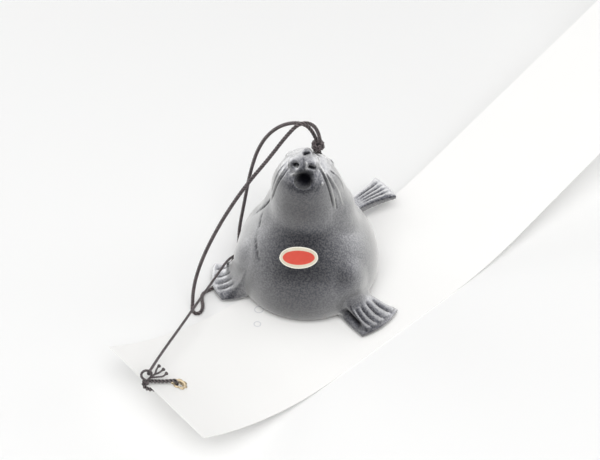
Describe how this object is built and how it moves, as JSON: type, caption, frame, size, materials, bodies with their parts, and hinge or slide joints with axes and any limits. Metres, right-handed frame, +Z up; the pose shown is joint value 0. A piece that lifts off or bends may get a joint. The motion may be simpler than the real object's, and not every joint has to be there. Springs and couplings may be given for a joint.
{
  "type": "wind bell",
  "caption": "Cast iron wind bell shaped as a seal looking up, with a hanging loop, an inner clapper on a cord and a long paper strip that catches the wind.",
  "frame": {"origin": "on the bell's vertical axis, at the underside of the flat part of the paper strip that the bell stands on", "axes": "+Z up; the seal faces -Y, so +X is the seal's left"},
  "size_m": [0.2251, 0.3328, 0.089],
  "materials": {
    "cast_iron_lacquer": "sand-cast iron under a thin black baked lacquer with a blue-grey sheen",
    "clapper_iron": "plain cast iron under black lacquer",
    "label_paper": "bare oval sticker, red-orange field inside a cream border",
    "loop_cord": "twisted dark brown cord",
    "thin_cord": "thin twisted dark brown cord",
    "eyelet_brass": "dull brass",
    "strip_paper": "white card with two faint printed bubbles"
  },
  "bodies": {
    "bell": {"seal_bell": "cast_iron_lacquer", "chest_label": "label_paper", "crown_cord": "loop_cord", "strip_cord": "thin_cord"},
    "hanging_loop": {"hang_loop_cord": "loop_cord", "top_knot": "loop_cord"},
    "clapper_swivel": {"stop_knot": "loop_cord"},
    "clapper": {"clapper_cord": "thin_cord", "clapper": "clapper_iron", "clapper_knot": "thin_cord"},
    "strip": {"paper_strip": "strip_paper", "eyelet": "eyelet_brass", "strip_bridle": "thin_cord", "strip_knot": "thin_cord", "knot_tail_long": "thin_cord", "knot_tail_middle": "thin_cord", "knot_tail_short": "thin_cord"}
  },
  "joints": [
    {"name": "hang_loop_lift", "type": "hinge", "parent": "bell", "child": "hanging_loop", "pos_m": [0.0034, 0.003, 0.07401], "axis": [0, 1, 0], "range_deg": [0, 90], "deforming": ["hang_loop_cord"]},
    {"name": "clapper_turn", "type": "hinge", "parent": "bell", "child": "clapper_swivel", "pos_m": [0.0034, 0.003, 0.05491], "axis": [0, 0, 1], "continuous": true, "deforming": ["strip_cord"]},
    {"name": "clapper_swing", "type": "hinge", "parent": "clapper_swivel", "child": "clapper", "pos_m": [0.0034, 0.003, 0.05491], "axis": [0, 1, 0], "range_deg": [-18, 18], "deforming": ["strip_cord"]},
    {"name": "strip_turn", "type": "hinge", "parent": "bell", "child": "strip", "pos_m": [-0.03542, -0.0952, 0.02536], "axis": [0, 0, 1], "range_deg": [-50, 0], "deforming": ["strip_cord"]}
  ]
}
